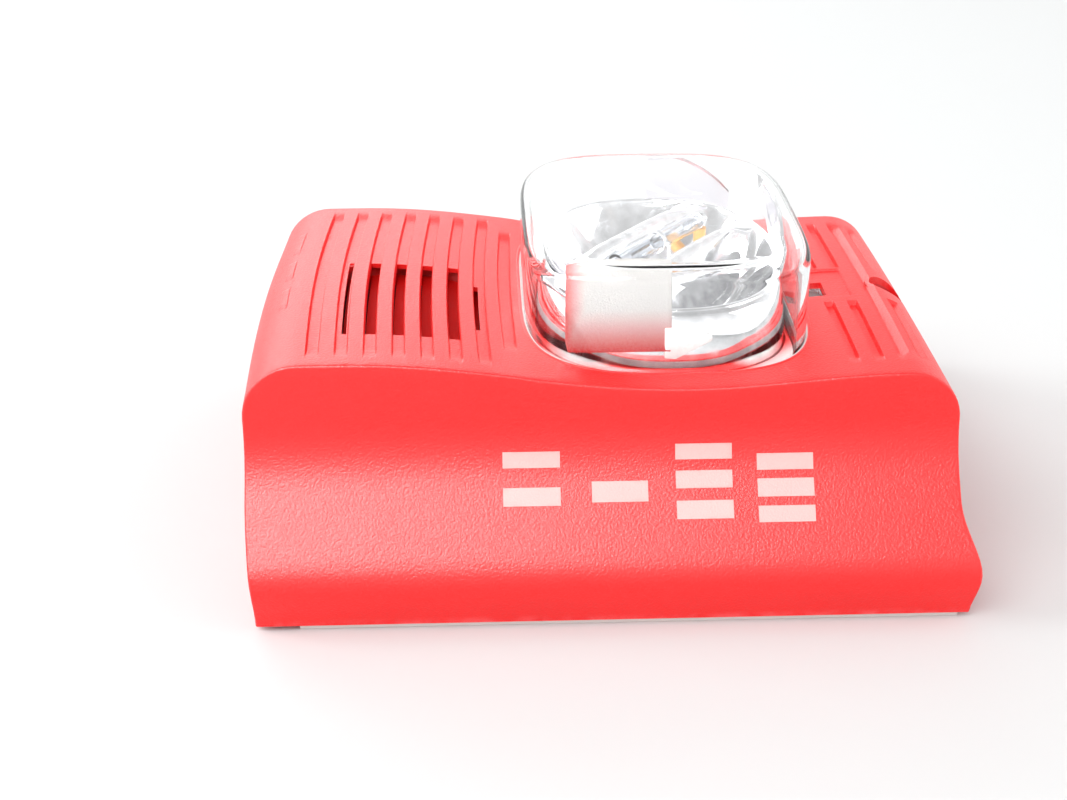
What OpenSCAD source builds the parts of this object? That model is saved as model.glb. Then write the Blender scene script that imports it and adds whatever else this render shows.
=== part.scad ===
// Wall horn strobe lying on its back: +Z out of the wall, +X towards its lower end, origin under its middle.

/* [Housing] */
// Overall length, from the hinged upper end to the screw end
body_length = 142; // [140:0.5:144]
// Overall width at the flared rim
body_width = 119; // [117:0.5:121]
// Width of the front face, inside the ogee flanks
face_width = 89; // [86:0.5:92]
// Front height at the crest over the sounder
crest_height = 49.7; // [49:0.1:51]
// Front height at the dip around the lens
dip_height = 43.6; // [43.2:0.1:44.4]
// Front height at the low crest by the screw
low_crest_height = 46.1; // [45.6:0.1:47]
// Wall thickness of the moulded cover
wall = 2; // [1.6:0.1:2.2]

/* [Grille] */
// Distance from one grille groove to the next
groove_pitch = 5.48; // [5.2:0.02:5.6]
// Depth of the decorative grooves
groove_depth = 0.9; // [0.5:0.1:1.1]
// How far the grooves bow towards the upper end
groove_bow = 1.2; // [0.8:0.1:2]

/* [Lens and lamp] */
// Length of the lens along the body
lens_length = 56.6; // [55:0.2:57]
// Width of the lens across the body
lens_width = 75; // [72:0.5:76]
// Height of the lens top above the wall
lens_top = 66; // [65:0.5:67]
// Outside radius of the flash tube
tube_radius = 2; // [1.6:0.1:2.2]

/* [Fixing] */
// Spacing of the single-gang box screws
single_gang_pitch = 83.3; // [83.3:0.1:83.4]
// Spacing of the two rows of double-gang box screws
double_gang_gap = 46; // [46:0.1:46.1]
// Spacing of the octagonal box screws
octagon_pitch = 88.9; // [88.9:0.1:89]
// Radius of the holes for the box screws
box_hole_radius = 2.1; // [2:0.1:2.3]

/* [Hidden] */
$fn = 48;
far = 400;

// Heights above the wall
rim_z = 1.2;
plate_z = 2.2;
cover_z = 6;
cover_top = 8;
board_z = 15;
board_top = 16.6;
retainer_z = 37.6;
flange_z = 40;
flange_top = 41.3;

// Ends and waves of the front
upper_x = -body_length / 2;
lower_x = body_length / 2;
upper_corner = 11;
lower_corner = 10;
flare = 3.3;
flare_z = 9.5;
flare_top = 22;
rim_tuck = 1.4;
crest_x = -52;
dip_x = 15;
low_crest_x = 58;
flank_top = 37;
slope_top = 25;
slope_foot = 14;

// Grille
groove_first = -57.44;
groove_count = 7;
groove_reach = 40.6;
groove_width = 2.4;
side_recess_x = -19.3;
side_recess_width = 2.6;
side_recess_reach = 33;
groove_radius = 667;
slot_low = -29;
slot_high = 8;
short_slot_low = -23.6;
short_slot_high = -1.5;
thin_slot = 1;
low_groove_first = 47;
low_groove_pitch = 4.8;
low_groove_width = 1.8;

// Lens and lamp
lens_x = 13;
lens_wall = 1.8;
lens_gap = 0.35;
lens_lip = 1.2;
lens_corner = 9;
lens_bow_radius = 82;
block_length = 20.5;
lamp_z = 56;
lamp_turn = 52;
lamp_half = 15.5;
lead_half = 17.5;
reflector_half_x = 23.8;
reflector_half_y = 32;
reflector_top = 55;
bowl_offset = 13.5;
bowl_radius = 15;
leg_x = 12;
leg_y = 22;

// Sounder
horn_x = -39;
horn_y = -10.5;
horn_radius = 21.5;
horn_top = 43;

// Fasteners and hinge
hinge_x = -66.2;
hinge_z = 3.2;
hinge_bar_radius = 1.4;
hook_radius = 2.6;
hook_y = 30;
hook_width = 7;
screw_x = 62.5;
screw_radius = 1.7;
screw_seat = 34;
cover_posts = [[-50, -44], [-50, 44], [50, -44], [50, 44]];
board_posts = [[-53, -36], [-53, 36], [49, -34], [49, 34]];

// Switches
slide_x = 45.3;
slide_y = -2.5;
tone_x = 38;
tone_y = 26;

// Terminals
terminal_pitch = 8;
terminal_ys = [for (i = [-2.5 : 1 : 2.5]) i * terminal_pitch];
terminal_x = 12;
socket_x = 23;
wire_x = [-33, 1];
wire_half_y = 19;

// A smooth step from 0 to 1
function ease(t) = (1 - cos(180 * min(1, max(0, t)))) / 2;

// Height of the front face along the body
function front_z(x) = x < dip_x
    ? dip_height + (crest_height - dip_height) * ease((dip_x - x) / (dip_x - crest_x))
    : dip_height + (low_crest_height - dip_height) * ease((x - dip_x) / (low_crest_x - dip_x));

// Outer ends and half width of the body at a height
function upper_end(z) = upper_x + rim_tuck * ease((25 - z) / 24);
function lower_end(z) = z < flare_z
    ? lower_x - rim_tuck * ease((flare_z - z) / flare_z)
    : lower_x - flare * ease((z - flare_z) / (flare_top - flare_z));

// Half width: upright at the face, a hollow, an even slope, a tight turn above the rim
flank_slope = (body_width - face_width) / (flank_top + slope_top - slope_foot - flare_z);
function half_width(z) = z < flare_z
    ? body_width / 2 - rim_tuck * ease((flare_z - z) / flare_z)
    : z < slope_foot ? body_width / 2 - flank_slope * pow(z - flare_z, 2) / (2 * (slope_foot - flare_z))
    : z < slope_top ? half_width(slope_top) + flank_slope * (slope_top - z)
    : face_width / 2 + flank_slope * pow(max(0, flank_top - z), 2) / (2 * (flank_top - slope_top));

function arc(cx, cz, r, from, to, n = 10) =
    [for (i = [0 : n]) let (a = from + (to - from) * i / n) [cx + r * cos(a), cz + r * sin(a)]];

// Outline of the body seen from its flank, set in by t
function flank_outline(t) = concat(
    [for (z = [rim_z - 2 * t, rim_z, 5, 9, 13, 17, 21, 25]) [upper_end(z) + t, z]],
    arc(upper_x + upper_corner, crest_height - upper_corner, upper_corner - t, 180, 90),
    [for (x = [-57 : 3 : 54]) [x, front_z(x) - t]],
    arc(lower_x - flare - lower_corner, low_crest_height - lower_corner, lower_corner - t, 90, 0),
    [for (z = [22, 20, 18, 16, 14, 12, 10, 8, 6, 4, rim_z, rim_z - 2 * t]) [lower_end(z) - t, z]]
);

// Outline of the body seen from its end, set in by t
side_heights = [for (z = [rim_z, 3, 5, 7, 9, 11, 13, 15, 17, 19, 21, 23, 25, 27, 29, 31, 33, 35]) z];
function end_outline(t) = concat(
    [[-half_width(rim_z) + t, rim_z - 2 * t]],
    [for (z = side_heights) [-half_width(z) + t, z]],
    [[-face_width / 2 + t, flank_top], [-face_width / 2 + t, 60]],
    [[face_width / 2 - t, 60], [face_width / 2 - t, flank_top]],
    [for (i = [len(side_heights) - 1 : -1 : 0]) [half_width(side_heights[i]) - t, side_heights[i]]],
    [[half_width(rim_z) - t, rim_z - 2 * t]]
);

module body_block(t) {
    intersection() {
        translate([0, body_width, 0]) rotate([90, 0, 0])
            linear_extrude(2 * body_width) polygon(flank_outline(t));
        translate([-body_length, 0, 0]) rotate([90, 0, 90])
            linear_extrude(2 * body_length) polygon(end_outline(t));
    }
}

module rounded_square(size_x, size_y, r) {
    square([size_x - 2 * r, size_y], center = true);
    square([size_x, size_y - 2 * r], center = true);
    for (sx = [-1, 1], sy = [-1, 1])
        translate([sx * (size_x / 2 - r), sy * (size_y / 2 - r)]) circle(r);
}

module box(x0, x1, y0, y1, z0, z1) {
    translate([x0, y0, z0]) cube([x1 - x0, y1 - y0, z1 - z0]);
}

module post(x, y, z0, z1, r) {
    translate([x, y, z0]) cylinder(h = z1 - z0, r = r);
}

// A long slot that bows towards the upper end, its far wall on x at the ends
module bowed_slot(x, width, y0, y1, z0, z1) {
    centre = x - groove_bow + groove_radius;
    intersection() {
        box(x - 5, x + 5, y0, y1, z0, z1);
        translate([centre, 0, z0 - 1]) difference() {
            cylinder(h = z1 - z0 + 2, r = groove_radius, $fn = 720);
            translate([0, 0, -1]) cylinder(h = z1 - z0 + 4, r = groove_radius - width, $fn = 720);
        }
    }
}

// Plan of the lens, grown by g: a rounded square whose long edges bow outwards
module lens_plan(g) {
    bow_centre = lens_bow_radius - lens_width / 2;
    translate([lens_x, 0]) intersection() {
        rounded_square(lens_length + 2 * g, lens_width + 2 * g, lens_corner + g);
        translate([0, bow_centre]) circle(lens_bow_radius + g, $fn = 180);
        translate([0, -bow_centre]) circle(lens_bow_radius + g, $fn = 180);
    }
}

// ---- Head -------------------------------------------------------------------------------------

module hook(y) {
    translate([hinge_x, y + hook_width / 2, hinge_z]) rotate([90, 0, 0]) difference() {
        union() {
            cylinder(h = hook_width, r = hook_radius);
            translate([-hook_radius, -0.6, 0]) cube([hook_radius, 4.4, hook_width]);
        }
        translate([0, 0, -1]) cylinder(h = hook_width + 2, r = hinge_bar_radius + 0.1);
        translate([0, -1.25, -1]) cube([4, 2.5, hook_width + 2]);
    }
}

module housing_posts() {
    for (p = cover_posts) post(p[0], p[1], cover_top, 60, 3.2);
    post(screw_x, 0, 14.2, 60, 4.9);
    difference() {
        post(horn_x, horn_y, horn_top + 0.5, 60, horn_radius);
        post(horn_x, horn_y, 0, far, horn_radius - wall);
    }
}

module grooves() {
    for (i = [0 : groove_count - 1]) {
        x = groove_first + i * groove_pitch;
        z = front_z(x) - groove_depth;
        bowed_slot(x, groove_width, -groove_reach, groove_reach, z, z + 9);
        if (i == 1) bowed_slot(x + groove_width - thin_slot - 0.3, thin_slot, slot_low, slot_high, 30, z + 9);
        if (i > 1 && i < 6) bowed_slot(x, groove_width, slot_low, slot_high, 30, z + 9);
        if (i == 6) bowed_slot(x, thin_slot, short_slot_low, short_slot_high, 30, z + 9);
    }
    z = front_z(side_recess_x) - groove_depth;
    recess_x = side_recess_x + groove_bow;
    bowed_slot(recess_x, side_recess_width, -side_recess_reach, side_recess_reach, z, z + 9);
    for (i = [0 : 3]) {
        x = low_groove_first + i * low_groove_pitch;
        z = front_z(x) - groove_depth - (i == 3 ? 0.4 : 0);
        difference() {
            box(x, x + low_groove_width, -groove_reach, groove_reach, z, z + 9);
            if (i < 2) box(x - 1, x + 4, -10.5, 8.5, 0, far);
            if (i == 3) box(x - 1, x + 4, -9, 9, 0, far);
        }
    }
}

module candela_opening(g) {
    translate([slide_x + 0.3, slide_y]) square([5.4 + 2 * g, 7 + 2 * g], center = true);
}

module front_housing() {
    color("#e02a25") {
        difference() {
            union() {
                difference() {
                    body_block(0);
                    body_block(wall);
                }
                intersection() {
                    body_block(0.2);
                    housing_posts();
                }
            }
            translate([0, 0, 30]) linear_extrude(40) lens_plan(lens_gap);
            grooves();
            translate([0, 0, 30]) linear_extrude(40) candela_opening(0.05);
            post(screw_x, 0, 0, far, 2.1);
            post(screw_x, 0, screw_seat, far, 3.9);
            for (p = cover_posts) post(p[0], p[1], 0, 20, 1.35);
            post(horn_x, horn_y, 30, horn_top + 0.5, horn_radius + 1);
        }
        for (s = [-1, 1]) hook(s * hook_y);
    }
}

module lens_body(g) {
    intersection() {
        linear_extrude(lens_top - g) lens_plan(-g);
        translate([lens_x, far / 2, 0]) rotate([90, 0, 0]) linear_extrude(far) union() {
            translate([0, lens_top / 2 - g]) rounded_square(lens_length - 2 * g, lens_top, 7);
            translate([-lens_length / 2 + g, -1]) square([lens_length - 2 * g, 50]);
        }
        translate([-far / 2, 0, 0]) rotate([90, 0, 90]) linear_extrude(far)
            polygon([
                [-40 + g, -1], [-lens_width / 2 + g, 54], [-34 + g, 61], [-30 + g, lens_top - 2.2 - g / 2],
                [-22 + g, lens_top - 0.5 - g], [0, lens_top - g], [22 - g, lens_top - 0.5 - g],
                [30 - g, lens_top - 2.2 - g / 2], [34 - g, 61], [lens_width / 2 - g, 54], [40 - g, -1]
            ]);
    }
}

module optical_block() {
    box(lens_x - 1 - block_length, lens_x - 1, -lens_width / 2, -27, 55, lens_top);
}

module lens() {
    color("#eef4f6", 0.35) {
        difference() {
            union() {
                intersection() {
                    lens_body(0);
                    translate([0, 0, flange_z]) linear_extrude(far) lens_plan(1);
                }
                translate([0, 0, flange_z]) linear_extrude(flange_top - flange_z) lens_plan(lens_lip);
            }
            difference() {
                lens_body(lens_wall);
                intersection() {
                    lens_body(lens_wall - 0.2);
                    union() {
                        optical_block();
                        translate([2 * lens_x, 0, 0]) rotate([0, 0, 180]) optical_block();
                    }
                }
            }
        }
    }
}

// Oval plan of the reflector, grown by g
module reflector_plan(g) {
    translate([lens_x, 0]) polygon([for (a = [0 : 5 : 355])
        [(reflector_half_x + g) * cos(a), (reflector_half_y + g) * sin(a)]]);
}

// Places what lies along the flash tube, which runs slantwise through the lamp's middle
module along_lamp() {
    translate([lens_x, 0, 0]) rotate([0, 0, lamp_turn]) children();
}

module lens_retainer() {
    color("#c8221f") translate([0, 0, retainer_z]) linear_extrude(flange_z - retainer_z) difference() {
        lens_plan(lens_lip);
        reflector_plan(0.4);
    }
}

module reflector() {
    color("#d9dcde") difference() {
        union() {
            translate([0, 0, 36]) linear_extrude(reflector_top - 36) reflector_plan(0);
            for (sx = [-1, 1], sy = [-1, 1])
                post(lens_x + sx * leg_x, sy * leg_y, board_top, 37, 2);
        }
        translate([0, 0, 35]) linear_extrude(9) difference() {
            reflector_plan(-1.6);
            for (sx = [-1, 1], sy = [-1, 1])
                translate([lens_x + sx * leg_x, sy * leg_y]) circle(2);
        }
        along_lamp() {
            for (s = [-1, 1]) translate([0, s * bowl_offset, 62]) sphere(bowl_radius, $fn = 72);
            translate([-22, 0, lamp_z + 1]) rotate([0, 90, 0]) cylinder(h = 44, r = 5.5);
            for (s = [-1, 1]) post(s * lead_half, 0, 30, 60, 1.7);
            post(0, -3, 30, 60, 0.8);
        }
    }
}

module flash_tube() {
    color("#e8f0f4", 0.5) along_lamp() translate([-lamp_half, 0, lamp_z]) rotate([0, 90, 0]) difference() {
        cylinder(h = 2 * lamp_half, r = tube_radius);
        translate([0, 0, -1]) cylinder(h = 2 * lamp_half + 2, r = tube_radius - 0.5);
    }
}

module tube_electrodes() {
    color("silver") along_lamp() for (s = [-1, 1]) {
        translate([s * (lamp_half - 1), 0, lamp_z]) rotate([0, 90, 0])
            cylinder(h = 6.4, r = 0.9, center = true);
        translate([s * lead_half, 0, board_top]) cylinder(h = lamp_z - board_top + 0.5, r = 0.5);
        translate([s * (lead_half - 0.2), 0, lamp_z]) rotate([0, 90, 0])
            cylinder(h = 1.6, r = 1.3, center = true);
    }
}

module tube_sleeves() {
    color("#b8792a") along_lamp() for (s = [-1, 1]) translate([s * lead_half, 0, 38]) difference() {
        cylinder(h = 16, r = 1.35);
        translate([0, 0, -1]) cylinder(h = 18, r = 0.6);
    }
}

module trigger_band() {
    color("#b5b8bc") along_lamp() {
        translate([-0.5, 0, lamp_z]) rotate([0, 90, 0]) difference() {
            cylinder(h = 1, r = tube_radius + 0.25);
            translate([0, 0, -1]) cylinder(h = 3, r = tube_radius + 0.02);
        }
        post(0, -3, board_top, lamp_z, 0.4);
        box(-0.3, 0.3, -3, -tube_radius - 0.1, lamp_z - 0.4, lamp_z + 0.4);
    }
}

module grille_screen() {
    color("#2b2b2d") post(horn_x, horn_y, horn_top + 0.05, horn_top + 0.45, horn_radius - 0.2);
}

module horn_chamber() {
    color("#202124") difference() {
        union() {
            post(horn_x, horn_y, 27, horn_top, horn_radius);
            for (a = [30 : 120 : 270])
                translate([horn_x + 19.6 * cos(a), horn_y + 19.6 * sin(a), board_top])
                    cylinder(h = 11, r = 1.8);
        }
        post(horn_x, horn_y, 29, horn_top + 1, horn_radius - 2);
        post(horn_x, horn_y, 20, 30, 14);
    }
}

module horn_gasket() {
    color("#3a3a3c") difference() {
        post(horn_x, horn_y, 26.5, 27, 17.5);
        post(horn_x, horn_y, 26, 28, 14.2);
    }
}

module horn_diaphragm() {
    color("#c9a24a") post(horn_x, horn_y, 26.2, 26.5, 17.5);
}

module piezo_disc() {
    color("#e9e4d8") post(horn_x, horn_y, 25.95, 26.2, 11.5);
}

module horn_leads() {
    color("#a01c1c") {
        post(horn_x - 6, horn_y, board_top, 25.95, 0.6);
        post(horn_x, horn_y + 14.5, board_top, 26.2, 0.6);
    }
}

module circuit_board() {
    color("#1f6b3f") difference() {
        box(-57, 55, -40, 40, board_z, board_top);
        for (p = board_posts) post(p[0], p[1], 0, far, 1.6);
        box(slide_x - 1.4, slide_x + 1.4, slide_y - 9, slide_y + 9, 0, far);
    }
}

module screw(x, y, seat, tip, head_r, head_h, shank_r) {
    s = sign(seat - tip);
    translate([x, y, min(seat, seat + s * head_h)]) difference() {
        cylinder(h = head_h, r = head_r);
        translate([-0.4, -head_r + 0.5, s > 0 ? head_h - 0.8 : -0.2]) cube([0.8, 2 * head_r - 1, 1]);
        translate([-head_r + 0.5, -0.4, s > 0 ? head_h - 0.8 : -0.2]) cube([2 * head_r - 1, 0.8, 1]);
    }
    translate([x, y, min(seat, tip)]) cylinder(h = abs(seat - tip), r = shank_r);
}

module board_screws() {
    color("silver") for (p = board_posts) screw(p[0], p[1], board_top, 9.5, 2.6, 1.8, 1.4);
}

module storage_capacitor() {
    color("#27408b") translate([-48, 28, board_top + 8.2]) rotate([0, 90, 0]) {
        cylinder(h = 31, r = 8);
        for (s = [-1, 1]) translate([6.4, s * 3.75, 31]) cylinder(h = 2, r = 0.4);
    }
    color("silver") for (s = [-1, 1]) post(-15.4, 28 + s * 3.75, board_top, board_top + 2.2, 0.4);
}

module trigger_transformer() {
    color("#3a3324") {
        box(lens_x - 4.5, lens_x + 4.5, -16, -7, board_top, board_top + 1.4);
        post(lens_x, -11.5, board_top + 1.4, board_top + 10, 3.8);
        post(lens_x, -11.5, board_top + 10, board_top + 11, 4.4);
    }
}

module inductor() {
    color("#6b3f1d") {
        post(0, 10, board_top, board_top + 1.5, 6);
        post(0, 10, board_top + 1.5, board_top + 10.5, 5.2);
        post(0, 10, board_top + 10.5, board_top + 12, 6);
    }
}

module power_transistor() {
    color("#1b1b1d") box(29, 39, 8, 12.5, board_top + 3, board_top + 12);
    color("silver") {
        box(29, 39, 12.5, 13.8, board_top + 3, board_top + 17);
        for (i = [-1 : 1]) box(33.6 + 2.54 * i, 34.4 + 2.54 * i, 10, 10.6, board_top, board_top + 3);
    }
}

module control_chips() {
    color("#1a1a1c") {
        box(-14, -4, -22, -14, board_top + 0.1, board_top + 1.8);
        box(20, 26, -12, -7, board_top + 0.1, board_top + 1.7);
    }
    color("silver") {
        for (i = [0 : 6], y = [-23, -13])
            box(-13.4 + 1.4 * i, -12.8 + 1.4 * i, y - 1, y + 1, board_top, board_top + 0.4);
    }
}

module small_components() {
    color("#c7b08a") for (i = [0 : 7], j = [0 : 2])
        box(-8 + 5 * i, -5.4 + 5 * i, 31 + 3 * j, 32.4 + 3 * j, board_top, board_top + 0.9);
    color("#2c2c30") for (i = [0 : 4]) post(-8 + 9 * i, -33, board_top, board_top + 7, 3.1);
    color("#d96b1e") for (i = [0 : 3]) box(36, 41.5, -24 + 6 * i, -20.5 + 6 * i, board_top, board_top + 5);
}

module candela_switch_body() {
    color("#e8e8e4") difference() {
        box(slide_x - 5, slide_x + 5, slide_y - 14.5, slide_y + 14.5, 9.4, board_z);
        box(slide_x - 2.6, slide_x + 2.6, slide_y - 12, slide_y + 12, 9, board_z + 1);
    }
}

module candela_slider() {
    color("#8d9093") {
        box(slide_x - 2.5, slide_x + 2.5, slide_y - 5, slide_y + 5, 8.2, 14.8);
        box(slide_x - 1, slide_x + 1, slide_y - 1.5, slide_y + 1.5, 4.6, 8.3);
        box(slide_x - 1, slide_x + 1, slide_y - 2, slide_y + 2, 14.7, 41.1);
        box(slide_x - 2.7, slide_x + 3.2, slide_y - 10, slide_y + 10, 41, 41.8);
    }
}

module candela_window() {
    color("#dfe6ea", 0.5) translate([0, 0, 43.2]) linear_extrude(2) candela_opening(0);
}

module tone_switch_body() {
    color("#26262a") difference() {
        box(tone_x - 5, tone_x + 5, tone_y - 5, tone_y + 5, 9, board_z);
        post(tone_x, tone_y, 8, 13.2, 1.56);
    }
}

module tone_switch_rotor() {
    color("#f2f2ee") difference() {
        union() {
            post(tone_x, tone_y, 5.2, 8.8, 3.2);
            post(tone_x, tone_y, 8.8, 13, 1.5);
        }
        box(tone_x - 2.6, tone_x + 2.6, tone_y - 0.5, tone_y + 0.5, 5, 6.2);
        translate([tone_x + 2.2, tone_y, 5]) cylinder(h = 1.2, r = 0.5, $fn = 3);
    }
}

module contact_pins() {
    color("#151517") box(socket_x - 2, socket_x + 2, -23, 23, 12.4, board_z);
    color("#c9a24a") for (y = terminal_ys) post(socket_x, y, 5, 12.5, 0.8);
}

module back_cover() {
    color("#3a3b3e") difference() {
        union() {
            box(-59, 56.5, -50, 50, cover_z, cover_top);
            for (p = board_posts) post(p[0], p[1], cover_top - 1, board_z, 3);
        }
        box(-36, 31.5, -27, 27, 0, far);
        for (p = cover_posts) post(p[0], p[1], 0, far, 1.6);
        for (p = board_posts) post(p[0], p[1], 9, far, 1.45);
        box(slide_x - 1.4, slide_x + 1.4, slide_y - 8.5, slide_y + 8.5, 0, far);
        post(tone_x, tone_y, 0, far, 3.7);
    }
}

module back_cover_screws() {
    color("silver") for (p = cover_posts) screw(p[0], p[1], cover_z, 17.5, 2.8, 1.5, 1.3);
}

module screw_retainer() {
    color("#e8e6df") difference() {
        post(screw_x, 0, 8, 9, 3.6);
        post(screw_x, 0, 7, 10, screw_radius + 0.06);
    }
}

module mounting_screw() {
    color("silver") screw(screw_x, 0, screw_seat, 2.6, 3.2, 3, screw_radius);
}

// ---- Wall plate -------------------------------------------------------------------------------

module plate_lugs() {
    for (s = [-1, 1], e = [-1, 1]) {
        y = s * hook_y + e * (hook_width / 2 + 1.5);
        box(hinge_x, -59, y - 1, y + 1, plate_z - 0.6, hinge_z + 1.2);
        translate([hinge_x, y + 1, hinge_z]) rotate([90, 0, 0]) cylinder(h = 2, r = 1.2);
    }
    for (s = [-1, 1]) translate([hinge_x, s * hook_y + hook_width / 2 + 2.5, hinge_z]) rotate([90, 0, 0])
        cylinder(h = hook_width + 5, r = hinge_bar_radius);
}

module mounting_plate() {
    color("#d9d7cf") {
        difference() {
            union() {
                box(-60, 67.6, -57.2, 57.2, 0, 1);
                box(-60, 66.6, -55.4, 55.4, 0, plate_z);
                post(screw_x, 0, 0, 7, 4);
                difference() {
                    box(-58, 58, -53, 53, 0, 4);
                    box(-56.6, 56.6, -51.6, 51.6, -1, 5);
                }
            }
            translate([(wire_x[0] + wire_x[1]) / 2, 0, -1]) linear_extrude(5)
                rounded_square(wire_x[1] - wire_x[0], 2 * wire_half_y, 5);
            post(screw_x, 0, 1, far, 2.1);
            for (s = [-1, 1]) {
                post(s * single_gang_pitch / 2, 0, -1, 5, box_hole_radius);
                post(0, s * octagon_pitch / 2, -1, 5, box_hole_radius);
                for (e = [-1, 1])
                    post(s * single_gang_pitch / 2, e * double_gang_gap / 2, -1, 5, box_hole_radius);
            }
        }
        plate_lugs();
    }
}

module terminal_block() {
    color("#2f3033") difference() {
        box(4, 28, -24, 24, plate_z, 11);
        for (y = terminal_ys) {
            box(6.8, 21.6, y - 3.2, y + 3.2, 8.6, 12);
            box(3, 7.5, y - 2, y + 2, 5.4, 12);
            box(20.2, socket_x, y - 1.6, y + 1.6, 4.8, 12);
            post(socket_x, y, 3.6, 12, 1.6);
            post(terminal_x, y, 3.6, 12, 1.6);
        }
    }
}

module terminal_contacts() {
    color("#c9a24a") for (y = terminal_ys) difference() {
        union() {
            box(7.5, 21, y - 2.8, y + 2.8, 8.6, 9.3);
            box(20.4, 21, y - 1.4, y + 1.4, 5, 8.7);
        }
        post(terminal_x, y, 8, 10, 1.7);
    }
}

module terminal_screws() {
    color("silver") for (y = terminal_ys) screw(terminal_x, y, 9.3, 4.2, 2.5, 1.9, 1.5);
}

module shorting_spring() {
    color("#d8c48a") translate([28, 7, 0]) rotate([90, 0, 0]) linear_extrude(14)
        polygon([[0, 4], [0.5, 4], [0.5, 8], [1.8, 9.6], [0.9, 11], [0.4, 10.6], [1.1, 9.6], [0, 8.3]]);
}

mounting_plate();
terminal_block();
terminal_contacts();
terminal_screws();
shorting_spring();
front_housing();
lens();
lens_retainer();
reflector();
flash_tube();
tube_electrodes();
tube_sleeves();
trigger_band();
grille_screen();
horn_chamber();
horn_gasket();
horn_diaphragm();
piezo_disc();
horn_leads();
circuit_board();
board_screws();
storage_capacitor();
trigger_transformer();
inductor();
power_transistor();
control_chips();
small_components();
candela_switch_body();
candela_slider();
candela_window();
tone_switch_body();
tone_switch_rotor();
contact_pins();
back_cover();
back_cover_screws();
screw_retainer();
mounting_screw();
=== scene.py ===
import math
import bpy
import bmesh
from mathutils import Matrix, Vector


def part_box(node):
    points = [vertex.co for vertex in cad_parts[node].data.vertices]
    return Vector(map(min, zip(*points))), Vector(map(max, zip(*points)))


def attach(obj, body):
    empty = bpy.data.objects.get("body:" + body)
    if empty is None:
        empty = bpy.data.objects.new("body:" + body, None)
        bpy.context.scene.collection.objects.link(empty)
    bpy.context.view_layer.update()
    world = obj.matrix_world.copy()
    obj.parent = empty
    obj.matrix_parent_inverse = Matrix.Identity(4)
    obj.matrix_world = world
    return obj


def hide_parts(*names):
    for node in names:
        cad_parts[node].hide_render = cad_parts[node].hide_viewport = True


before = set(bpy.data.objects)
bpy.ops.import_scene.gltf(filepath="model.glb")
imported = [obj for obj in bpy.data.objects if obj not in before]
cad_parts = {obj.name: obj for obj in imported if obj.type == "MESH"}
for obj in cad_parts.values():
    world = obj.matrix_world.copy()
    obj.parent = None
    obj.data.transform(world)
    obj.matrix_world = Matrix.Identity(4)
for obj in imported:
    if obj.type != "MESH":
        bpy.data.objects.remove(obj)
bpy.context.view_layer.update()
print("frame loaded:", len(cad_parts), "nodes")


# Node helpers: plain wrappers that keep the materials short
def fillSockets(tree, made, sockets):
    for key, value in sockets.items():
        if isinstance(value, bpy.types.NodeSocket):
            tree.links.new(value, made.inputs[key])
        else:
            made.inputs[key].default_value = value


def addNode(tree, kind, sockets=None, **settings):
    made = tree.nodes.new("ShaderNode" + kind)
    for key, value in settings.items():
        setattr(made, key, value)
    fillSockets(tree, made, sockets or {})
    return made


def objectPlace(tree):
    return addNode(tree, "TexCoord").outputs["Object"]


def noiseAt(tree, place, scale, detail=2.0, roughness=0.5):
    return addNode(tree, "TexNoise", {"Vector": place, "Scale": scale, "Detail": detail,
                                      "Roughness": roughness}).outputs[0]


def startGroup(name, inputs, outputs):
    group = bpy.data.node_groups.new(name, "ShaderNodeTree")
    for label, kind, value in inputs:
        socket = group.interface.new_socket(label, in_out="INPUT", socket_type="NodeSocket" + kind)
        socket.default_value = value
    for label, kind in outputs:
        group.interface.new_socket(label, in_out="OUTPUT", socket_type="NodeSocket" + kind)
    return group, group.nodes.new("NodeGroupInput").outputs, group.nodes.new("NodeGroupOutput").inputs


def math2(tree, operation, a, b=0.0, clamp=False):
    return addNode(tree, "Math", {0: a, 1: b}, operation=operation, use_clamp=clamp).outputs[0]


def mixColour(tree, factor, a, b):
    return addNode(tree, "Mix", {0: factor, 6: a, 7: b}, data_type="RGBA").outputs[2]


def timesSwing(tree, noise, amount):
    return math2(tree, "MULTIPLY", math2(tree, "SUBTRACT", noise, 0.5), amount)


def remap(tree, value, low, high, toLow=0.0, toHigh=1.0):
    return addNode(tree, "MapRange", {"Value": value, "From Min": low, "From Max": high,
                                      "To Min": toLow, "To Max": toHigh}).outputs[0]


# Fine spark texture of a moulding tool, with slow shade changes over it
def makeMouldGrain():
    group, given, out = startGroup("mouldGrain",
        [("Colour", "Color", (0.5, 0.5, 0.5, 1)), ("Grain", "Float", 2600.0), ("Roughness", "Float", 0.45),
         ("Shade", "Float", 0.06)],
        [("Colour", "Color"), ("Roughness", "Float"), ("Height", "Float")])
    place = objectPlace(group)
    fine = noiseAt(group, place, given["Grain"], roughness=0.6)
    slow = noiseAt(group, place, 38.0, 3.0)
    cloud, speck = timesSwing(group, slow, given["Shade"]), timesSwing(group, fine, given["Shade"])
    value = math2(group, "ADD", 1.0, math2(group, "ADD", cloud, speck))
    shaded = addNode(group, "HueSaturation", {"Color": given["Colour"], "Value": value}).outputs[0]
    group.links.new(shaded, out["Colour"])
    rough = math2(group, "ADD", given["Roughness"], timesSwing(group, fine, 0.18))
    group.links.new(rough, out["Roughness"])
    group.links.new(fine, out["Height"])
    return group


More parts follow.
